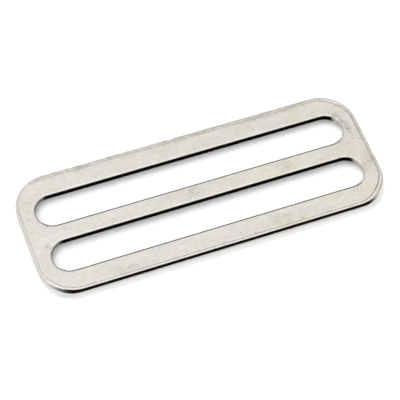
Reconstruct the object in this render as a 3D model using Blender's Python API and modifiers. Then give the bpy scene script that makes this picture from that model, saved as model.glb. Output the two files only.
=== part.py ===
"""Flat three-bar slide for 50 mm webbing: one stamped sheet-metal plate with two long slots.

Metres, +Z up. The origin is the middle of the centre bar on the underside, the face that the
plate rests on. +X runs along the slots, which is the width of the webbing.
"""

import math

import bmesh
import bpy

# Driving dimensions.
PLATE_LENGTH = 0.0600
PLATE_WIDTH = 0.0229
SHEET_THICKNESS = 0.0012
CORNER_RADIUS = 0.0061
SLOT_LENGTH = 0.0543
SLOT_WIDTH = 0.00585
CENTRE_BAR_WIDTH = 0.0031

# Edge finish. The outline is rolled over on the top face, and every other edge is only eased.
OUTLINE_ROLL_RADIUS = 0.00038
EASED_EDGE_RADIUS = 0.00014

# How finely the round shapes are divided.
CORNER_STEPS = 12
SLOT_END_STEPS = 24
ROLL_SEGMENTS = 5
EASED_SEGMENTS = 3
SHARP_EDGE_ANGLE = math.radians(60)
SMOOTH_SHADING_ANGLE = math.radians(30)

CUTTER_OVERRUN = 0.002
WELD_DISTANCE = 0.000001
LEVEL_TOLERANCE = 0.000001

NICKEL_COLOUR = (0.66, 0.64, 0.59, 1.0)
NICKEL_ROUGHNESS = 0.34


def clear_scene():
    for obj in list(bpy.data.objects):
        bpy.data.objects.remove(obj, do_unlink=True)


def new_collection(name):
    collection = bpy.data.collections.new(name)
    bpy.context.scene.collection.children.link(collection)
    return collection


def arc(centre_x, centre_y, radius, start_deg, end_deg, steps):
    """Points round an arc, both ends included."""
    points = []
    for step in range(steps + 1):
        angle = math.radians(start_deg + (end_deg - start_deg) * step / steps)
        x = centre_x + radius * math.cos(angle)
        y = centre_y + radius * math.sin(angle)
        points.append((x, y))
    return points


def rounded_rectangle(length, width, radius, steps):
    """A rectangle centred on the origin with a quarter circle at each corner."""
    x = length / 2 - radius
    y = width / 2 - radius
    outline = arc(x, y, radius, 0, 90, steps)
    outline += arc(-x, y, radius, 90, 180, steps)
    outline += arc(-x, -y, radius, 180, 270, steps)
    outline += arc(x, -y, radius, 270, 360, steps)
    return outline


def stadium(length, width, steps):
    """A slot outline centred on the origin, with a half circle at each end."""
    radius = width / 2
    x = length / 2 - radius
    return arc(x, 0, radius, -90, 90, steps) + arc(-x, 0, radius, 90, 270, steps)


def slab_from_outline(name, outline, thickness, collection):
    """A closed mesh slab centred on z = 0, made from a filled and extruded flat curve."""
    curve = bpy.data.curves.new(name + "_curve", "CURVE")
    curve.dimensions = "2D"
    curve.fill_mode = "BOTH"
    curve.extrude = thickness / 2
    spline = curve.splines.new("POLY")
    spline.points.add(len(outline) - 1)
    for point, (x, y) in zip(spline.points, outline):
        point.co = (x, y, 0.0, 1.0)
    spline.use_cyclic_u = True

    curve_object = bpy.data.objects.new(name + "_curve", curve)
    collection.objects.link(curve_object)
    bpy.context.view_layer.update()
    graph = bpy.context.evaluated_depsgraph_get()
    mesh = bpy.data.meshes.new_from_object(curve_object.evaluated_get(graph))
    mesh.name = name

    slab = bpy.data.objects.new(name, mesh)
    slab.matrix_world = curve_object.matrix_world
    collection.objects.link(slab)
    bpy.data.objects.remove(curve_object, do_unlink=True)
    bpy.data.curves.remove(curve)

    shape = bmesh.new()
    shape.from_mesh(mesh)
    bmesh.ops.remove_doubles(shape, verts=shape.verts, dist=WELD_DISTANCE)
    bmesh.ops.dissolve_limit(
        shape, angle_limit=math.radians(1), verts=shape.verts, edges=shape.edges
    )
    bmesh.ops.recalc_face_normals(shape, faces=shape.faces)
    shape.to_mesh(mesh)
    shape.free()
    return slab


def mark_top_rim(mesh, top):
    """Gives full bevel weight to the edges round the rim at height top, and none to the rest."""
    shape = bmesh.new()
    shape.from_mesh(mesh)
    weight = shape.edges.layers.float.new("bevel_weight_edge")
    for edge in shape.edges:
        at_top = all(abs(vertex.co.z - top) < LEVEL_TOLERANCE for vertex in edge.verts)
        edge[weight] = 1.0 if at_top else 0.0
    shape.to_mesh(mesh)
    shape.free()


def nickel_material():
    material = bpy.data.materials.new("nickel_plated_steel")
    material.use_nodes = True
    shader = material.node_tree.nodes["Principled BSDF"]
    shader.inputs["Base Color"].default_value = NICKEL_COLOUR
    shader.inputs["Metallic"].default_value = 1.0
    shader.inputs["Roughness"].default_value = NICKEL_ROUGHNESS
    return material


def add_bevel(obj, name, width, segments):
    bevel = obj.modifiers.new(name, "BEVEL")
    bevel.offset_type = "OFFSET"
    bevel.width = width
    bevel.segments = segments
    bevel.use_clamp_overlap = False
    return bevel


def make_slot_cutter(name, y, cutters):
    """A stadium-shaped bar that runs through both faces of the plate."""
    outline = stadium(SLOT_LENGTH, SLOT_WIDTH, SLOT_END_STEPS)
    height = SHEET_THICKNESS + 2 * CUTTER_OVERRUN
    cutter = slab_from_outline(name, outline, height, cutters)
    cutter.location = (0, y, SHEET_THICKNESS / 2)
    cutter.hide_render = True
    cutter.display_type = "WIRE"
    return cutter


def make_slide_plate(parts, cutters):
    """The whole slide: outline blanked and rolled over on top, slots punched, edges eased."""
    outline = rounded_rectangle(PLATE_LENGTH, PLATE_WIDTH, CORNER_RADIUS, CORNER_STEPS)
    plate = slab_from_outline("slide_plate", outline, SHEET_THICKNESS, parts)
    plate.location = (0, 0, SHEET_THICKNESS / 2)
    plate.data.materials.append(nickel_material())

    mark_top_rim(plate.data, SHEET_THICKNESS / 2)
    roll = add_bevel(plate, "Outline roll", OUTLINE_ROLL_RADIUS, ROLL_SEGMENTS)
    roll.limit_method = "WEIGHT"

    slot_y = (CENTRE_BAR_WIDTH + SLOT_WIDTH) / 2
    for name, y in (("far_slot_cutter", slot_y), ("near_slot_cutter", -slot_y)):
        cut = plate.modifiers.new("Punch " + name, "BOOLEAN")
        cut.operation = "DIFFERENCE"
        cut.solver = "EXACT"
        cut.object = make_slot_cutter(name, y, cutters)

    ease = add_bevel(plate, "Eased edges", EASED_EDGE_RADIUS, EASED_SEGMENTS)
    ease.limit_method = "ANGLE"
    ease.angle_limit = SHARP_EDGE_ANGLE

    plate.data.shade_smooth()
    plate.data.set_sharp_from_angle(angle=SMOOTH_SHADING_ANGLE)
    return plate


def main():
    clear_scene()
    parts = new_collection("buckle_slider")
    cutters = new_collection("cutters")
    cutters.hide_render = True
    make_slide_plate(parts, cutters)


main()
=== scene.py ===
"""Looks of the buckle slider: a nickel-plated stamping with two long slots, on a white table.

The plate's mesh is swept round the outline and both slots, and the flats between are filled. Each
point carries its finish together with painted shade, painted reflection and painted highlight,
which the material turns into colour and gloss. Sides are named as they are seen from the front,
which is -Y: right is +X and far is +Y.
"""

import math
import random

import bmesh
import bpy
from mathutils import Matrix, Vector, noise
from mathutils.geometry import delaunay_2d_cdt


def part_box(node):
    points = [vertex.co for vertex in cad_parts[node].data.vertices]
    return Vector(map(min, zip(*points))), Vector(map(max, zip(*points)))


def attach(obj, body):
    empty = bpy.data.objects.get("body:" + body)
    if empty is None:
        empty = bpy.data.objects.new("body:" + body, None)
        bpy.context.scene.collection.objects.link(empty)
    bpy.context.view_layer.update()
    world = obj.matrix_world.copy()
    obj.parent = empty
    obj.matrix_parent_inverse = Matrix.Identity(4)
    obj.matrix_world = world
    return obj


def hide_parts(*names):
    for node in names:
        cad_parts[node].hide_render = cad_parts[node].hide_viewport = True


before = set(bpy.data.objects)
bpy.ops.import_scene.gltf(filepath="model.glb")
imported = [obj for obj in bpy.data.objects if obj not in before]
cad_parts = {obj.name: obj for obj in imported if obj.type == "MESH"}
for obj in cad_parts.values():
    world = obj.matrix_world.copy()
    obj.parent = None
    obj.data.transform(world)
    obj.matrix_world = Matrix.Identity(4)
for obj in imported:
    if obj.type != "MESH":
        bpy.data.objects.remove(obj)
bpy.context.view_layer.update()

MM = 0.001

# The plate. Its box comes from the frame, and the outline inside that box from these values.
PLATE_LOW, PLATE_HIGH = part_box("slide_plate")
LENGTH = PLATE_HIGH.x - PLATE_LOW.x
WIDTH = PLATE_HIGH.y - PLATE_LOW.y
THICKNESS = PLATE_HIGH.z - PLATE_LOW.z
CORNER_RADIUS = 6.1 * MM
SLOT_LENGTH = 54.3 * MM
SLOT_WIDTH = 5.85 * MM
CENTRE_BAR_WIDTH = 3.1 * MM
SLOT_Y = (CENTRE_BAR_WIDTH + SLOT_WIDTH) / 2

# The pressed crease inside the outline wanders. These are how far in it lies, in millimetres, and
# how strong it is, on eight sides: right, far right, far, far left, left, near left, near and
# near right.
CREASE_INSETS = (0.65, 0.86, 0.78, 0.36, 0.46, 0.71, 0.67, 0.92)
CREASE_WEIGHTS = (1.15, 1.0, 0.42, 0.45, 0.6, 0.7, 0.8, 1.7)
CREASE_HALF_WIDTH = 0.115 * MM
CREASE_DEPTH = 0.032 * MM
CREASE_CLEARANCE = 0.02 * MM

# How far the rounded edges reach in from each wall, and up or down it. A fullness of 2 makes the
# top edge a quarter ellipse, and more keeps the face flatter for longer.
OUTLINE_ROLL_IN = 0.50 * MM
OUTLINE_ROLL_DOWN = 0.22 * MM
OUTLINE_UNDER_IN = 0.20 * MM
OUTLINE_UNDER_UP = 0.36 * MM
OUTLINE_FULLNESS = 3
SLOT_ROLL_IN = 0.34 * MM
SLOT_ROLL_DOWN = 0.22 * MM
SLOT_UNDER_IN = 0.05 * MM
SLOT_UNDER_UP = 0.05 * MM
SLOT_FULLNESS = 2

# The sheared walls: a straight burnished band, then a rough fracture that leans back.
BURNISH_SHARE = 0.55
OUTLINE_LEAN = 0.05 * MM
SLOT_LEAN = 0.015 * MM
BURNISH_BLEND = 0.06
FRACTURE_ROUGHNESS = 0.018 * MM
FRACTURE_STREAK_WIDTH = 0.30 * MM
FRACTURE_GRAIN = 0.16 * MM

# How much the edges and faces waver, and over what length, with the wear of the crease.
EDGE_WAVER = 0.010 * MM
EDGE_WAVER_LENGTH = 1.7 * MM
FACE_WAVER = 0.005 * MM
TOP_WAVER_LENGTH = 3.1 * MM
UNDER_WAVER_LENGTH = 2.6 * MM
CREASE_WEAR_LENGTH = 2.2 * MM

# Pits in the faces and nicks in the edges. Sizes and depths are ranges in millimetres, and a pit's
# depth is a share of its radius.
PIT_COUNT = 46
PIT_RADII = (0.07, 0.17)
PIT_DEPTH_SHARES = (0.10, 0.22)
PIT_RINGS = ((0.35, 6), (0.7, 9), (1.0, 12))
NICK_COUNT = 26
NICK_SIZES = (0.10, 0.28)
NICK_DEPTHS = (0.02, 0.055)
NICK_DROP_SHARE = 0.7
RANDOM_SEED = 20

# Where in the noise each unevenness is read, so that no two are alike.
STREAK_SHIFT = 7 * MM
TOP_LAYER = 3 * MM
UNDER_LAYER = 11 * MM
CREASE_LAYER = 5.0

# Mesh spacing. The margins are rows on the flats that lead into the filled middles, and the clear
# distances are how far in from the edges the filled middles have points of their own.
EDGE_STEP = 0.22 * MM
BEND_STEP = 0.16 * MM
GRID_STEP = 0.45 * MM
RIM_STEPS = 8
WALL_STEPS = 8
UNDER_STEPS = 4
CREASE_STEPS = 3
CREASE_MARGIN = 0.30 * MM
SLOT_MARGINS = (0.22 * MM, 0.08 * MM)
UNDER_MARGINS = (0.12 * MM, 0.30 * MM)
TOP_CLEAR = 1.15 * MM
UNDER_CLEAR = 0.75 * MM
FILL_INSIDE_OUTLINE = 1
FILL_TOLERANCE = 1e-9


def smooth_step(low, high, value):
    share = min(1.0, max(0.0, (value - low) / (high - low)))
    return share * share * (3 - 2 * share)


def wander(x, y, z, size):
    """Smooth noise from -1 to 1 that changes over about the given size."""
    return noise.noise(Vector((x / size, y / size, z / size)))


# ---------------------------------------------------------------- outlines


class Station:
    """A place on an edge: where it is, and which way the metal lies from there."""

    def __init__(self, x, y, into_x, into_y):
        self.x = x
        self.y = y
        self.into_x = into_x
        self.into_y = into_y
        self.reach = SLOT_ROLL_IN
        self.waver = EDGE_WAVER * (1 + wander(x, y, 0.0, EDGE_WAVER_LENGTH)) / 2
        self.nick = 0.0

    def turn(self):
        """Degrees that the edge has turned from running along X."""
        return math.degrees(math.asin(min(1.0, abs(self.into_x))))

    def by_compass(self, values):
        """Blends values given for eight directions, for the direction that the edge faces here."""
        eighths = math.degrees(math.atan2(-self.into_y, -self.into_x)) / 45 % 8
        before = math.floor(eighths)
        share = smooth_step(0, 1, eighths - before)
        return values[before % 8] * (1 - share) + values[(before + 1) % 8] * share

    def crease_inset(self):
        return self.by_compass(CREASE_INSETS) * MM

    def crease_weight(self):
        return self.by_compass(CREASE_WEIGHTS)


def rounded_edge(length, width, radius, centre_y, metal_side):
    """Stations round a rounded rectangle. The metal lies inside it at -1 and outside it at +1."""
    stations = []
    half_x = length / 2 - radius
    half_y = width / 2 - radius
    corners = ((half_x, half_y), (-half_x, half_y), (-half_x, -half_y), (half_x, -half_y))
    for quarter, (corner_x, corner_y) in enumerate(corners):
        bend_steps = math.ceil(math.pi / 2 * radius / BEND_STEP)
        for step in range(bend_steps):
            angle = math.pi / 2 * (quarter + step / bend_steps)
            out_x = math.cos(angle)
            out_y = math.sin(angle)
            x = corner_x + radius * out_x
            y = centre_y + corner_y + radius * out_y
            stations.append(Station(x, y, metal_side * out_x, metal_side * out_y))
        next_x, next_y = corners[(quarter + 1) % 4]
        run = math.hypot(next_x - corner_x, next_y - corner_y)
        angle = math.pi / 2 * (quarter + 1)
        out_x = math.cos(angle)
        out_y = math.sin(angle)
        run_steps = math.ceil(run / EDGE_STEP) if run > EDGE_STEP else 0
        for step in range(run_steps):
            share = step / run_steps
            x = corner_x + (next_x - corner_x) * share + radius * out_x
            y = centre_y + corner_y + (next_y - corner_y) * share + radius * out_y
            stations.append(Station(x, y, metal_side * out_x, metal_side * out_y))
    return stations


def add_nicks(stations, count, rng):
    """Small dents along an edge, where it has been knocked."""
    for _ in range(count):
        middle = rng.choice(stations)
        size = rng.uniform(*NICK_SIZES) * MM
        depth = rng.uniform(*NICK_DEPTHS) * MM
        for station in stations:
            away = math.hypot(station.x - middle.x, station.y - middle.y)
            if away < 3 * size:
                station.nick = max(station.nick, depth * math.exp(-((away / size) ** 2)))


# ---------------------------------------------------------------- sections


class Row:
    """One line of the section: how far in from the edge it is, how high, and how steep.

    Follows is its share of the crease's inset, and rolls its share of the rim's reach.
    """

    def __init__(self, inset, height, tilt=0.0, follows=0.0, rolls=0.0, crease=0.0):
        self.inset = inset
        self.height = height
        self.tilt = tilt
        self.follows = follows
        self.rolls = rolls
        self.crease = crease
        self.fracture = 0.0
        self.nick = 0.0


def rim_rows(reach, drop, fullness, steps):
    """Rows round the top rim, from the flat face to the wall."""
    rows = []
    for step in range(steps + 1):
        angle = math.pi / 2 * step / steps
        across = math.sin(angle) ** (2 / fullness)
        up = math.cos(angle)
        slope = drop / reach * fullness / 2 * across ** (fullness - 1) / max(up, 1e-6)
        height = THICKNESS - drop * (1 - up)
        row = Row(0.0, height, math.degrees(math.atan(slope)), rolls=1 - across)
        row.nick = across
        rows.append(row)
    return rows


def under_rows(reach, rise, lean, steps):
    """Rows round the quarter ellipse between the wall and the underside."""
    rows = []
    for step in range(steps, -1, -1):
        angle = math.pi / 2 * step / steps
        tilt = math.degrees(math.atan2(rise * math.sin(angle), reach * math.cos(angle)))
        row = Row(lean + reach * (1 - math.sin(angle)), rise * (1 - math.cos(angle)), tilt)
        row.fracture = smooth_step(20, 60, tilt)
        rows.append(row)
    return rows


def wall_rows(top, bottom, lean, steps):
    """Rows down the sheared wall, between the two roundings."""
    rows = []
    for step in range(1, steps):
        share = step / steps
        slope = max(0.0, (share - BURNISH_SHARE) / (1 - BURNISH_SHARE))
        height = top + (bottom - top) * share
        row = Row(lean * slope, height, 90.0)
        past_burnish = (share - BURNISH_SHARE) / BURNISH_BLEND
        row.fracture = smooth_step(-1, 1, past_burnish)
        row.nick = 1 - share
        rows.append(row)
    return rows


def edge_rows(roll_in, roll_down, under_in, under_up, lean, fullness):
    """Rows over an edge, from the top face down the wall to the underside."""
    rows = rim_rows(roll_in, roll_down, fullness, RIM_STEPS)
    rows += wall_rows(THICKNESS - roll_down, under_up, lean, WALL_STEPS)
    rows += under_rows(under_in, under_up, lean, UNDER_STEPS)
    rows += [Row(lean + under_in + margin, 0.0) for margin in UNDER_MARGINS]
    return rows


def outline_section():
    """The outline's section: a pressed crease, then a long roll and a rounded underside."""
    rows = [Row(CREASE_MARGIN, THICKNESS, follows=1.0)]
    for step in range(-CREASE_STEPS, CREASE_STEPS + 1):
        share = step / CREASE_STEPS
        crease = (1 + math.cos(math.pi * share)) / 2
        height = THICKNESS - CREASE_DEPTH * crease
        rows.append(Row(-share * CREASE_HALF_WIDTH, height, follows=1.0, crease=crease))
    rows += edge_rows(
        OUTLINE_ROLL_IN,
        OUTLINE_ROLL_DOWN,
        OUTLINE_UNDER_IN,
        OUTLINE_UNDER_UP,
        OUTLINE_LEAN,
        OUTLINE_FULLNESS,
    )
    return rows


def slot_section():
    """A slot's section: a short bend into the slot and an almost square underside."""
    rows = [Row(SLOT_ROLL_IN + margin, THICKNESS) for margin in SLOT_MARGINS]
    rows += edge_rows(
        SLOT_ROLL_IN,
        SLOT_ROLL_DOWN,
        SLOT_UNDER_IN,
        SLOT_UNDER_UP,
        SLOT_LEAN,
        SLOT_FULLNESS,
    )
    return rows


# ---------------------------------------------------------------- the plate's mesh


# What is kept at each point of the mesh, in order: how strongly the crease is darkened; where the
# sheared walls are painted near-black, as painted shade and dark reflection; how black that painted
# shade is; painted brightness on the walls, a painted reflection of the white table; and a painted
# highlight along the rims.
FINISH_NAMES = ("crease", "cut_and_shade", "dark", "table_reflection", "rim_highlight")
NO_FINISH = (0.0, 0.0, 0.0, 0.0, 0.0)


class PlateShape:
    """Gathers the plate's points and faces, and the finish at each point."""

    def __init__(self):
        self.points = []
        self.faces = []
        self.finish = {name: [] for name in FINISH_NAMES}

    def add_point(self, x, y, z, finish=NO_FINISH):
        self.points.append((x, y, z))
        for name, value in zip(FINISH_NAMES, finish):
            self.finish[name].append(value)
        return len(self.points) - 1

    def add_loop(self, stations, rows, finish_at):
        """Lays a section's rows along an edge. Returns the points of its first and last rows."""
        loops = []
        for row in rows:
            loop = []
            for station in stations:
                x, y, z = row_place(station, row)
                loop.append(self.add_point(x, y, z, finish_at(station, row)))
            loops.append(loop)
        count = len(stations)
        for upper, lower in zip(loops, loops[1:]):
            for here in range(count):
                after = (here + 1) % count
                self.faces.append((upper[here], upper[after], lower[after], lower[here]))
        return loops[0], loops[-1]

    def fill_face(self, loops, inner_points, height_at):
        """Fills the flat inside the first loop and outside the others, which are the slots'.

        The filling also spans the slots, in triangles that touch one slot's loop and nothing
        else, and those are left out.
        """
        numbers = []
        homes = []
        edges = []
        for home, loop in enumerate(loops):
            first = len(numbers)
            numbers += loop
            homes += [home] * len(loop)
            for step in range(len(loop)):
                edges.append((first + step, first + (step + 1) % len(loop)))
        flat = [Vector(self.points[number][:2]) for number in numbers]
        for x, y in inner_points:
            numbers.append(self.add_point(x, y, height_at(x, y)))
            homes.append(None)
            flat.append(Vector((x, y)))
        filled = delaunay_2d_cdt(flat, edges, [], FILL_INSIDE_OUTLINE, FILL_TOLERANCE)
        triangles, origins = filled[2], filled[3]
        for triangle in triangles:
            corners = [origins[corner][0] for corner in triangle]
            touched = {homes[corner] for corner in corners}
            over_slot = len(touched) == 1 and touched <= {1, 2}
            if not over_slot:
                self.faces.append([numbers[corner] for corner in corners])


def row_place(station, row):
    """Where a row of the section lies at a station, with its unevenness."""
    inset = row.inset + row.follows * station.crease_inset() + row.rolls * station.reach
    height = row.height
    steep = smooth_step(0, 60, row.tilt)
    inset += station.waver * steep
    if row.fracture:
        streak = wander(station.x + STREAK_SHIFT, station.y, 0.0, FRACTURE_STREAK_WIDTH)
        grain = wander(station.x, station.y, row.height, FRACTURE_GRAIN)
        inset += row.fracture * FRACTURE_ROUGHNESS * (1 + 0.6 * streak + 0.4 * grain)
    nick = station.nick * row.nick
    inset += nick
    if nick and row.height > THICKNESS / 2:
        height -= NICK_DROP_SHARE * nick
    if row.crease:
        worn = 0.55 + 0.45 * wander(station.x, station.y, CREASE_LAYER, CREASE_WEAR_LENGTH)
        height = THICKNESS - (THICKNESS - height) * worn * station.crease_weight()
    x = station.x + station.into_x * inset
    y = station.y + station.into_y * inset
    if height > THICKNESS / 2:
        height -= top_dip(x, y)
    elif row.tilt < 60:
        height += under_dip(x, y)
    return x, y, height


def top_dip(x, y):
    """How far the top face lies below its highest level."""
    return FACE_WAVER * (1 + wander(x, y, TOP_LAYER, TOP_WAVER_LENGTH)) / 2


def under_dip(x, y):
    """How far the underside lies above its lowest level."""
    return FACE_WAVER * (1 + wander(x, y, UNDER_LAYER, UNDER_WAVER_LENGTH)) / 2


def rounded_distance(x, y, length, width, radius):
    """Distance outside a rounded rectangle that is centred on the origin, negative inside it."""
    over_x = abs(x) - (length / 2 - radius)
    over_y = abs(y) - (width / 2 - radius)
    outside = math.hypot(max(over_x, 0.0), max(over_y, 0.0))
    return outside + min(max(over_x, over_y), 0.0) - radius


def metal_depth(x, y):
    """Distance in from the nearest edge of the plate in plan, negative where there is no metal."""
    depth = -rounded_distance(x, y, LENGTH, WIDTH, CORNER_RADIUS)
    for slot_y in (SLOT_Y, -SLOT_Y):
        away = rounded_distance(x, y - slot_y, SLOT_LENGTH, SLOT_WIDTH, SLOT_WIDTH / 2)
        depth = min(depth, away)
    return depth


class Pit:
    """A small round dent in a face."""

    def __init__(self, x, y, radius, depth):
        self.x = x
        self.y = y
        self.radius = radius
        self.depth = depth

    def dip(self, x, y):
        away = math.hypot(x - self.x, y - self.y) / self.radius
        return self.depth * (1 - smooth_step(0.2, 1.0, away))

    def points(self):
        yield self.x, self.y
        for share, count in PIT_RINGS:
            for step in range(count):
                angle = 2 * math.pi * (step + share) / count
                reach = self.radius * share
                yield self.x + reach * math.cos(angle), self.y + reach * math.sin(angle)


def scatter_pits(rng, count):
    """Pits at random over the metal, clear of its edges and of each other."""
    pits = []
    while len(pits) < count:
        x = rng.uniform(-LENGTH / 2, LENGTH / 2)
        y = rng.uniform(-WIDTH / 2, WIDTH / 2)
        radius = rng.uniform(*PIT_RADII) * MM
        depth = radius * rng.uniform(*PIT_DEPTH_SHARES)
        if metal_depth(x, y) < TOP_CLEAR:
            continue
        if all(math.hypot(x - pit.x, y - pit.y) > 4 * radius + pit.radius for pit in pits):
            pits.append(Pit(x, y, radius, depth))
    return pits


def face_points(rng, pits, clear):
    """A jittered grid over the flat of a face, with finer points round the pits."""
    points = []
    columns = math.ceil(LENGTH / GRID_STEP)
    rows = math.ceil(WIDTH / GRID_STEP)
    for column in range(columns):
        for row in range(rows):
            x = -LENGTH / 2 + (column + rng.uniform(0.25, 0.75)) * GRID_STEP
            y = -WIDTH / 2 + (row + rng.uniform(0.25, 0.75)) * GRID_STEP
            near_pit = any(math.hypot(x - pit.x, y - pit.y) < 1.5 * pit.radius for pit in pits)
            if metal_depth(x, y) > clear and not near_pit:
                points.append((x, y))
    for pit in pits:
        points += pit.points()
    return points


# The limits below are degrees, both of how far an edge has turned and of how steep its row is.


def outline_finish(station, row):
    """Painted shade and dark reflection: near-black on the near and far walls' upper part, which
    goes lower round the bends between the sides, and a fine dark line along the right rim. The rest
    of the wall keeps the nickel colour, brightened low down as a painted reflection of the white
    table, and the near rim gets a painted highlight."""
    turn = station.turn()
    near = station.into_y >= 0
    if near:
        start = 6.0 + 29.5 * smooth_step(20, 80, turn)
        low, high = (12, 48) if station.x > 0 else (20, 80)
        shaded = 1 - smooth_step(low, high, turn)
    else:
        start = 35.5
        shaded = 0.8 * (1 - smooth_step(10, 55, turn))
    left = station.into_x > 0
    if left:
        shaded = max(shaded, 0.3)
    round_bend = smooth_step(0, 22, turn) * (1 - smooth_step(28, 50, turn))
    lowest = (0.56 - 0.34 * round_bend) * MM
    upper = smooth_step(lowest, lowest + 0.13 * MM, row.height)
    # Painted shade and dark reflection: the wall is painted near-black by the way it faces.
    cut_and_shade = smooth_step(start, start + 4, row.tilt) * upper * shaded

    # Painted dark reflection: a fine dark line along the right rim, stronger towards the near side.
    right = smooth_step(0.25, 0.7, -station.into_x)
    line = right * (0.35 + 0.60 * smooth_step(0.3, 0.7, station.into_y))
    line *= smooth_step(3, 7, row.tilt) * (1 - smooth_step(14, 20, row.tilt))

    crease = row.crease * station.crease_weight()
    # Painted reflection: the lower wall is brightened to stand for the white table it mirrors, less
    # on the near side.
    table_reflection = smooth_step(50, 75, row.tilt) * (1 - 0.45 * smooth_step(0.85, 1.0, station.into_y))
    # Painted highlight along the near rim.
    rim_highlight = smooth_step(0.3, 0.8, station.into_y) * smooth_step(0.5, 2.5, row.tilt)
    return crease, max(cut_and_shade, line), 1.0, table_reflection, rim_highlight


def slot_finish(station, row):
    """Painted shade and dark reflection: near-black all down the wall and up over the near rim, but
    round most of the right end the wall keeps the nickel colour with a little painted reflection,
    and it is grey where the left end starts on the far side. The far wall's rim gets a painted
    highlight."""
    turn = station.turn()
    far = station.into_y > 0
    on_rim = row.tilt < 50
    lit_share = 0.0
    if station.x > 0:
        dark = 1 - smooth_step(37, 47, turn)
        if far:
            lit_share = smooth_step(42, 52, turn)
        elif on_rim:
            lit_share = smooth_step(10, 45, turn)
        else:
            lit_share = smooth_step(55, 72, turn)
    else:
        dark = 1 - smooth_step(4, 24, turn) * (1 - smooth_step(50, 66, turn)) * far
    # The painted dark line over the near rim is greyer.
    if on_rim and not far:
        dark *= 0.6
    start = 1.5 + 43.0 * smooth_step(-1.0, 0.4, station.into_y)
    # Painted shade and dark reflection: the wall is painted near-black, less round the lit right
    # end.
    cut_and_shade = smooth_step(start, start + 7, row.tilt) * (1 - 0.9 * lit_share)
    # Painted reflection on the lit right end.
    table_reflection = 0.3 * lit_share * smooth_step(50, 75, row.tilt)
    # Painted highlight along the far wall's rim, stronger round the right end.
    rim_highlight = 0.15 * smooth_step(0.3, 0.8, station.into_y) + 0.5 * lit_share * far
    return 0.0, cut_and_shade, dark, table_reflection, rim_highlight * smooth_step(1.0, 3.5, row.tilt)


def shape_plate():
    """The plate's points, faces and finish."""
    rng = random.Random(RANDOM_SEED)
    shape = PlateShape()
    outline = rounded_edge(LENGTH, WIDTH, CORNER_RADIUS, 0.0, -1)
    for station in outline:
        room = station.crease_inset() - CREASE_HALF_WIDTH - CREASE_CLEARANCE
        station.reach = min(OUTLINE_ROLL_IN, room)
    add_nicks(outline, NICK_COUNT, rng)
    loops = [shape.add_loop(outline, outline_section(), outline_finish)]
    for slot_y in (SLOT_Y, -SLOT_Y):
        edge = rounded_edge(SLOT_LENGTH, SLOT_WIDTH, SLOT_WIDTH / 2, slot_y, 1)
        add_nicks(edge, NICK_COUNT // 2, rng)
        loops.append(shape.add_loop(edge, slot_section(), slot_finish))
    tops, bottoms = zip(*loops)

    top_pits = scatter_pits(rng, PIT_COUNT)
    top_points = face_points(rng, top_pits, TOP_CLEAR)
    under_pits = scatter_pits(rng, PIT_COUNT)
    under_points = face_points(rng, under_pits, UNDER_CLEAR)

    def top_height(x, y):
        return THICKNESS - top_dip(x, y) - sum(pit.dip(x, y) for pit in top_pits)

    def under_height(x, y):
        return under_dip(x, y) + sum(pit.dip(x, y) for pit in under_pits)

    shape.fill_face(tops, top_points, top_height)
    shape.fill_face(bottoms, under_points, under_height)
    return shape


def make_plate():
    shape = shape_plate()
    mesh = bpy.data.meshes.new("slide_plate_finished")
    mesh.from_pydata(shape.points, [], shape.faces)
    mesh.validate()
    for name, values in shape.finish.items():
        layer = mesh.attributes.new(name, "FLOAT", "POINT")
        layer.data.foreach_set("value", values)

    solid = bmesh.new()
    solid.from_mesh(mesh)
    unused = [vertex for vertex in solid.verts if not vertex.link_faces]
    bmesh.ops.delete(solid, geom=unused, context="VERTS")
    bmesh.ops.recalc_face_normals(solid, faces=solid.faces)
    solid.to_mesh(mesh)
    solid.free()
    mesh.shade_smooth()

    plate = bpy.data.objects.new("slide_plate_finished", mesh)
    bpy.context.scene.collection.objects.link(plate)
    return plate


# ---------------------------------------------------------------- materials


# The Mix node's colour sockets share their names with others, so they are known by number.
MIX_FACTOR = 0
MIX_FIRST_COLOUR = 6
MIX_SECOND_COLOUR = 7
MIX_COLOUR_OUT = 2


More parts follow.
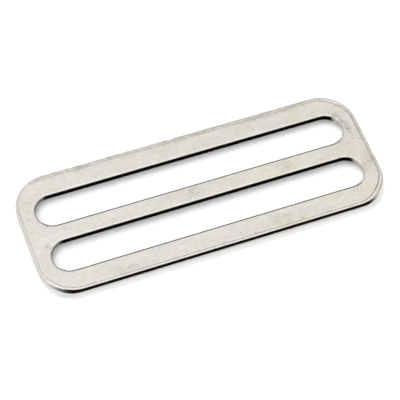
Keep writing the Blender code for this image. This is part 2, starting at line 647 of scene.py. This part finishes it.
class Graph:
    """Short calls for laying out a material's nodes."""

    def __init__(self, tree):
        self.nodes = tree.nodes
        self.links = tree.links

    def node(self, kind, inputs=(), **settings):
        made = self.nodes.new("ShaderNode" + kind)
        for name, value in settings.items():
            setattr(made, name, value)
        for socket, value in dict(inputs).items():
            self.put(value, made.inputs[socket])
        return made

    def put(self, value, socket):
        if isinstance(value, bpy.types.NodeSocket):
            self.links.new(value, socket)
        else:
            socket.default_value = value

    def maths(self, operation, first, second=0.0):
        made = self.node("Math", {0: first, 1: second}, operation=operation)
        return made.outputs[0]

    def times(self, first, second):
        return self.maths("MULTIPLY", first, second)

    def plus(self, first, second):
        return self.maths("ADD", first, second)

    def scaled(self, vector, factor):
        made = self.node("VectorMath", {"Vector": vector, "Scale": factor}, operation="SCALE")
        return made.outputs["Vector"]

    def attribute(self, name):
        return self.node("Attribute", attribute_name=name).outputs["Fac"]

    def spread(self, value, low, high, to_low=0.0, to_high=1.0):
        """Smoothly maps the range from low to high onto the range from to_low to to_high."""
        made = self.node("MapRange", {
            "Value": value,
            "From Min": low,
            "From Max": high,
            "To Min": to_low,
            "To Max": to_high,
        })
        made.interpolation_type = "SMOOTHSTEP"
        return made.outputs["Result"]

    def blend(self, share, first, second):
        inputs = {MIX_FACTOR: share, MIX_FIRST_COLOUR: first, MIX_SECOND_COLOUR: second}
        return self.node("Mix", inputs, data_type="RGBA").outputs[MIX_COLOUR_OUT]

    def grain(self, place, scale, detail=2.0, roughness=0.5, stretch=(1, 1, 1), turn=0.0):
        """Noise with about scale features per millimetre."""
        mapped = self.node("Mapping", {
            "Vector": place,
            "Rotation": (0, 0, math.radians(turn)),
            "Scale": stretch,
        })
        made = self.node("TexNoise", {
            "Vector": mapped.outputs["Vector"],
            "Scale": scale,
            "Detail": detail,
            "Roughness": roughness,
        })
        return made.outputs["Fac"]


# Colours of the plating, of what lies on it, and of the sheared walls.
NICKEL = (0.670, 0.640, 0.606, 1)
NICKEL_PINK = (0.704, 0.642, 0.630, 1)
NICKEL_GREEN = (0.654, 0.658, 0.588, 1)
NICKEL_KHAKI = (0.660, 0.625, 0.505, 1)
# The next colour is a painted reflection: brighter nickel that stands for the white table mirrored
# in the lower walls.
NICKEL_TABLE_REFLECTION = (0.90, 0.87, 0.81, 1)
STAIN = (0.345, 0.31, 0.205, 1)
GRIME = (0.32, 0.305, 0.245, 1)
# The next colour darkens the crease.
CREASE_DARK = (0.16, 0.145, 0.11, 1)
SPECK = (0.20, 0.18, 0.15, 1)
# The wall colours below are painted shade and dark reflection: near-black with faint streaks, and
# grey where the walls are less shaded.
WALL_BLACK = (0.005, 0.005, 0.004, 1)
WALL_STREAK = (0.030, 0.028, 0.022, 1)
WALL_GREY = (0.31, 0.30, 0.26, 1)

# Colour of reflections at a grazing angle, on the plating and on the black walls.
PLATED_TINT = (1, 1, 1, 1)
WALL_TINT = (0.45, 0.45, 0.45, 1)

# The dirty band along the far rim, in millimetres from the middle of the plate.
FAR_RIM_START = 10.25
FAR_RIM_FULL = 11.0

TABLE_WHITE = (0.88, 0.88, 0.88, 1)
TABLE_ROUGHNESS = 0.9

# How strong each thing is.
STAIN_STRENGTH = 0.80
FAR_RIM_STRENGTH = 0.65
SPECK_STRENGTH = 0.60
# The next value is how much the painted rim highlight brightens the colour.
RIM_HIGHLIGHT_GAIN = 0.19
BUMP_STRENGTH = 0.35
BUMP_DISTANCE = 0.02 * MM

# Hair scratches on the faces: the way they run in degrees, and the stretch of their noise.
SCRATCHES = ((12, (0.10, 2.6, 1)), (72, (0.12, 2.2, 1)))

# Stains on the top face, in millimetres on the plate: x, y, reach along x, reach along y, weight.
STAINS = (
    (26.7, 6.7, 1.0, 0.8, 1.0),
    (27.4, 5.6, 0.7, 1.2, 1.2),
    (27.9, 3.8, 0.7, 1.9, 1.3),
    (28.8, -3.6, 1.1, 3.2, 0.5),
    (27.6, -4.4, 0.5, 1.8, 0.7),
    (15.0, 0.0, 2.6, 1.8, 0.40),
    (-1.2, 0.2, 2.4, 1.6, 0.45),
    (15.5, 10.5, 6.5, 0.9, 0.5),
    (12.0, 9.2, 1.5, 1.0, 0.35),
    (3.0, 10.9, 7.0, 0.6, 0.6),
    (-17.5, 10.7, 2.4, 0.6, 0.6),
    (10.5, -9.6, 3.0, 1.6, 0.35),
    (-16.5, -10.0, 3.6, 1.3, 0.35),
    (-27.0, -2.2, 1.0, 1.2, 0.4),
)

# Dark spots on the top face, given in the same way.
SPOTS = (
    (13.8, -10.45, 0.22, 0.22, 0.8),
    (5.5, -10.6, 0.20, 0.20, 0.7),
    (-28.4, 4.0, 0.24, 0.24, 0.5),
    (-26.0, 1.75, 0.24, 0.28, 0.7),
    (-27.3, -2.0, 0.22, 0.22, 0.5),
    (28.9, 1.0, 0.22, 0.22, 0.6),
)


def patch_share(graph, place, patches):
    """The strongest of the patches at a place, from 0 to 1."""
    strongest = None
    for x, y, reach_x, reach_y, weight in patches:
        mapped = graph.node("Mapping", {
            "Vector": place,
            "Location": (-x / reach_x, -y / reach_y, 0),
            "Scale": (1 / reach_x, 1 / reach_y, 0),
        })
        away = graph.node("VectorMath", {"Vector": mapped.outputs["Vector"]}, operation="LENGTH")
        share = graph.spread(away.outputs["Value"], 0.25, 1.0, weight, 0.0)
        strongest = share if strongest is None else graph.maths("MAXIMUM", strongest, share)
    return strongest


class NickelFinish:
    """Satin nickel plate, mottled and stained, with near-black painted shade and painted reflection
    on its sheared walls, and painted highlights on its rims.
    """

    def __init__(self, tree):
        self.graph = Graph(tree)
        coordinates = self.graph.node("TexCoord")
        self.place = self.graph.scaled(coordinates.outputs["Object"], 1 / MM)
        parts = self.graph.node("SeparateXYZ", {"Vector": self.place})
        self.x, self.y, self.z = parts.outputs
        self.top = self.graph.spread(self.z, 0.4, 0.6)
        self.cut_and_shade = self.graph.attribute("cut_and_shade")
        self.crease = self.graph.attribute("crease")
        self.dark = self.graph.attribute("dark")
        self.table_reflection = self.graph.attribute("table_reflection")
        self.rim_highlight = self.graph.attribute("rim_highlight")
        self.stain = None
        self.grime = None

    def plating(self):
        """Pink and green-grey mottling, warmer towards the right end."""
        graph = self.graph
        place = self.place
        mottle = graph.spread(graph.grain(place, 1.5, 4, 0.65, (0.6, 1.3, 1), -12), 0.38, 0.62)
        colour = graph.blend(mottle, NICKEL_GREEN, NICKEL_PINK)
        calm = graph.spread(graph.grain(place, 0.35, 2, 0.5, turn=40), 0.35, 0.6, 0.05, 0.40)
        colour = graph.blend(calm, colour, NICKEL)
        rightwards = graph.spread(self.x, -16, 26, 0.05, 0.85)
        patches = graph.spread(graph.grain(place, 0.45, 4, 0.65, (0.6, 1, 1), -12), 0.38, 0.66)
        warm = graph.times(graph.times(rightwards, patches), graph.spread(self.y, -3, 8, 1.0, 0.65))
        return graph.blend(warm, colour, NICKEL_KHAKI)

    def dirtied(self, colour):
        """Adds the ragged stains, the grime along the far rim and the darkening in the crease."""
        graph = self.graph
        place = self.place
        ragged = graph.spread(graph.grain(place, 2.2, 5, 0.7), 0.36, 0.62)
        self.stain = graph.times(graph.times(patch_share(graph, place, STAINS), ragged), self.top)
        colour = graph.blend(graph.times(self.stain, STAIN_STRENGTH), colour, STAIN)

        far_rim = graph.times(graph.spread(self.y, FAR_RIM_START, FAR_RIM_FULL), self.top)
        smudge = graph.spread(graph.grain(place, 1.5, 4, 0.7, (1, 2, 1)), 0.40, 0.66, 0.12, 1.0)
        far_rim = graph.times(far_rim, graph.times(smudge, FAR_RIM_STRENGTH))
        colour = graph.blend(far_rim, colour, GRIME)

        broken = graph.spread(graph.grain(place, 1.3, 4, 0.7), 0.34, 0.54, 0.4, 1.0)
        in_crease = graph.times(self.crease, broken)
        self.grime = graph.maths("MAXIMUM", far_rim, in_crease)
        return graph.blend(in_crease, colour, CREASE_DARK)

    def grained(self, colour):
        """Adds the fine grain of the plating and a painted highlight along the rims, then the dark
        specks.
        """
        graph = self.graph
        place = self.place
        fine = graph.grain(place, 3.4, 2, 0.6, (0.6, 1.4, 1), 8)
        streaks = graph.grain(place, 1.5, 4, 0.7, (0.55, 1.5, 1), -14)
        cloudy = graph.grain(place, 0.45, 3, 0.6, (0.4, 1, 1), 8)
        tone = graph.times(
            graph.spread(fine, 0.30, 0.70, 0.955, 1.045),
            graph.spread(streaks, 0.30, 0.70, 0.945, 1.055),
        )
        tone = graph.times(tone, graph.spread(cloudy, 0.30, 0.70, 0.965, 1.035))
        tone = graph.times(tone, graph.plus(1.0, graph.times(self.rim_highlight, RIM_HIGHLIGHT_GAIN)))
        colour = graph.scaled(colour, tone)

        speck = graph.spread(graph.grain(place, 2.6, 2, 0.4), 0.70, 0.74)
        speck = graph.times(speck, SPECK_STRENGTH)
        spots = graph.times(patch_share(graph, place, SPOTS), self.top)
        return graph.blend(graph.maths("MAXIMUM", speck, spots), colour, SPECK)

    def walled(self, colour):
        """Paints shade and reflection onto the walls: bright where they mirror the white table,
        near-black for shade and dark reflection, grey where less shaded, with painted glints.
        """
        graph = self.graph
        place = self.place
        colour = graph.blend(self.table_reflection, colour, NICKEL_TABLE_REFLECTION)
        streak = graph.grain(place, 2.2, 3, 0.7, (1, 1, 0.35))
        black = graph.blend(graph.spread(streak, 0.50, 0.74), WALL_BLACK, WALL_STREAK)
        grey = graph.blend(graph.spread(streak, 0.35, 0.65, 0.0, 0.45), WALL_GREY, GRIME)
        wall = graph.blend(self.dark, grey, black)
        glint = graph.spread(graph.grain(place, 3.4, 2, 0.5), 0.70, 0.78, 0.0, 0.35)
        wall = graph.blend(glint, wall, WALL_GREY)
        return graph.blend(self.cut_and_shade, colour, wall)

    def edge_tint(self):
        return self.graph.blend(self.graph.times(self.cut_and_shade, self.dark), PLATED_TINT, WALL_TINT)

    def roughness(self):
        """Satin, duller where it is dirty and on the sheared walls. Follows dirtied()."""
        graph = self.graph
        rough = graph.spread(graph.grain(self.place, 1.3, 4, 0.6), 0.3, 0.7, 0.30, 0.39)
        rough = graph.plus(rough, graph.times(self.stain, 0.12))
        rough = graph.plus(rough, graph.times(self.grime, 0.14))
        rough = graph.plus(rough, graph.times(self.cut_and_shade, 0.10))
        return graph.maths("SUBTRACT", rough, graph.times(self.table_reflection, 0.10))

    def relief(self):
        """Fine relief: orange peel, and hair scratches in two directions."""
        graph = self.graph
        place = self.place
        height = graph.times(graph.grain(place, 5.5, 3, 0.6), 0.4)
        for turn, stretch in SCRATCHES:
            level = graph.maths("SUBTRACT", graph.grain(place, 1.0, 2, 0.5, stretch, turn), 0.5)
            lines = graph.spread(graph.maths("ABSOLUTE", level), 0.0, 0.012, 0.5, 0.0)
            patch = graph.spread(graph.grain(place, 0.25, 2, 0.5, turn=turn), 0.48, 0.62)
            height = graph.maths("SUBTRACT", height, graph.times(lines, patch))
        bump = graph.node("Bump", {
            "Strength": BUMP_STRENGTH,
            "Distance": BUMP_DISTANCE,
            "Height": height,
        })
        return bump.outputs["Normal"]


def nickel_finish():
    material = bpy.data.materials.new("nickel_plate_worn")
    material.use_nodes = True
    shader = material.node_tree.nodes["Principled BSDF"]
    shader.inputs["Metallic"].default_value = 1.0
    finish = NickelFinish(material.node_tree)
    colour = finish.walled(finish.grained(finish.dirtied(finish.plating())))
    finish.graph.put(colour, shader.inputs["Base Color"])
    finish.graph.put(finish.edge_tint(), shader.inputs["Specular Tint"])
    finish.graph.put(finish.roughness(), shader.inputs["Roughness"])
    finish.graph.put(finish.relief(), shader.inputs["Normal"])
    return material


def white_table():
    material = bpy.data.materials.new("white_table")
    material.use_nodes = True
    shader = material.node_tree.nodes["Principled BSDF"]
    shader.inputs["Base Color"].default_value = TABLE_WHITE
    shader.inputs["Roughness"].default_value = TABLE_ROUGHNESS
    shader.inputs["Specular IOR Level"].default_value = 0.0
    return material


# ---------------------------------------------------------------- the studio

FLOOR_SIZE = 3.0
FLOOR_DROP = 0.02 * MM

# The camera, which looks at a point near the middle of the top face. The lens and the sensor are in
# millimetres, and the clip distances in metres.
VIEW_AZIMUTH = -23.58
VIEW_ELEVATION = 57.38
VIEW_DISTANCE = 276.46 * MM
VIEW_ROLL = 3.70
VIEW_TARGET = (-0.858 * MM, -1.691 * MM, THICKNESS)
VIEW_LENS = 151.52
SENSOR = 36.0
CLIP_START = 0.01
CLIP_END = 10.0

# Brightness of the sky that the metal reflects, by the sine of its elevation.
SKY = ((0.0, 0.87), (0.60, 0.98), (0.84, 1.055), (0.93, 1.36), (0.97, 1.48), (1.0, 1.28))

# The lights that fall on the table: a dome, and soft panels that face the plate. Each panel has a
# name, azimuth, elevation, width, height and power. The low front panel lights the table round the
# plate, but hardly reaches it through the slots.
DOME_SPREAD = 160.0
DOME_STRENGTH = 1.9
PANEL_DISTANCE = 0.60
PANELS = (
    ("back_light", 180.0, 40.0, 0.30, 0.50, 3.3),
    ("right_light", 90.0, 35.0, 0.20, 0.30, 0.7),
    ("left_light", -90.0, 35.0, 0.20, 0.30, 0.7),
    ("front_light", 0.0, 8.0, 0.30, 0.06, 5.2),
)


def direction(azimuth, elevation):
    """Unit vector from the object towards a place. Azimuth 0 is in front, on the -Y side."""
    turn = math.radians(azimuth)
    rise = math.radians(elevation)
    return Vector((
        math.sin(turn) * math.cos(rise),
        -math.cos(turn) * math.cos(rise),
        math.sin(rise),
    ))


def make_floor():
    shape = bmesh.new()
    bmesh.ops.create_grid(shape, x_segments=1, y_segments=1, size=FLOOR_SIZE / 2)
    mesh = bpy.data.meshes.new("table")
    shape.to_mesh(mesh)
    shape.free()
    table = bpy.data.objects.new("table", mesh)
    table.location = (0, 0, -FLOOR_DROP)
    mesh.materials.append(white_table())
    bpy.context.scene.collection.objects.link(table)


def make_camera():
    camera = bpy.data.cameras.new("camera")
    camera.sensor_width = SENSOR
    camera.lens = VIEW_LENS
    camera.clip_start = CLIP_START
    camera.clip_end = CLIP_END
    holder = bpy.data.objects.new("camera", camera)
    bpy.context.scene.collection.objects.link(holder)
    back = direction(VIEW_AZIMUTH, VIEW_ELEVATION)
    turn = (-back).to_track_quat("-Z", "Y").to_matrix().to_4x4()
    roll = Matrix.Rotation(math.radians(VIEW_ROLL), 4, "Z")
    place = Matrix.Translation(Vector(VIEW_TARGET) + back * VIEW_DISTANCE)
    holder.matrix_world = place @ turn @ roll
    bpy.context.scene.camera = holder


def make_sky():
    """The sky that the metal mirrors. It doesn't light the table, which has lights of its own."""
    world = bpy.data.worlds.new("studio")
    bpy.context.scene.world = world
    world.use_nodes = True
    graph = Graph(world.node_tree)
    coordinates = graph.node("TexCoord")
    parts = graph.node("SeparateXYZ", {"Vector": coordinates.outputs["Generated"]})
    ramp = graph.node("ValToRGB", {"Fac": parts.outputs["Z"]})
    stops = ramp.color_ramp.elements
    brightest = max(value for _, value in SKY)
    while len(stops) < len(SKY):
        stops.new(1.0)
    for stop, (position, value) in zip(stops, SKY):
        stop.position = position
        level = value / brightest
        stop.color = (level, level, level, 1)
    world.cycles_visibility.diffuse = False
    background = world.node_tree.nodes["Background"]
    graph.put(ramp.outputs["Color"], background.inputs["Color"])
    background.inputs["Strength"].default_value = brightest


def add_light(name, kind, azimuth, elevation, distance):
    """A light that faces the plate and falls on the table. The metal mirrors only the sky."""
    light = bpy.data.lights.new(name, kind)
    holder = bpy.data.objects.new(name, light)
    bpy.context.scene.collection.objects.link(holder)
    towards = direction(azimuth, elevation)
    turn = towards.to_track_quat("Z", "Y").to_matrix().to_4x4()
    holder.matrix_world = Matrix.Translation(towards * distance) @ turn
    holder.visible_glossy = False
    holder.visible_camera = False
    return light


def make_lights():
    dome = add_light("dome", "SUN", 0.0, 90.0, 1.0)
    dome.angle = math.radians(DOME_SPREAD)
    dome.energy = DOME_STRENGTH
    for name, azimuth, elevation, width, height, power in PANELS:
        panel = add_light(name, "AREA", azimuth, elevation, PANEL_DISTANCE)
        panel.shape = "RECTANGLE"
        panel.size = width
        panel.size_y = height
        panel.energy = power


plate = make_plate()
plate.data.materials.append(nickel_finish())
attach(plate, "root")
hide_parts("slide_plate")

make_floor()
make_camera()
make_sky()
make_lights()
bpy.context.scene.view_settings.view_transform = "Standard"
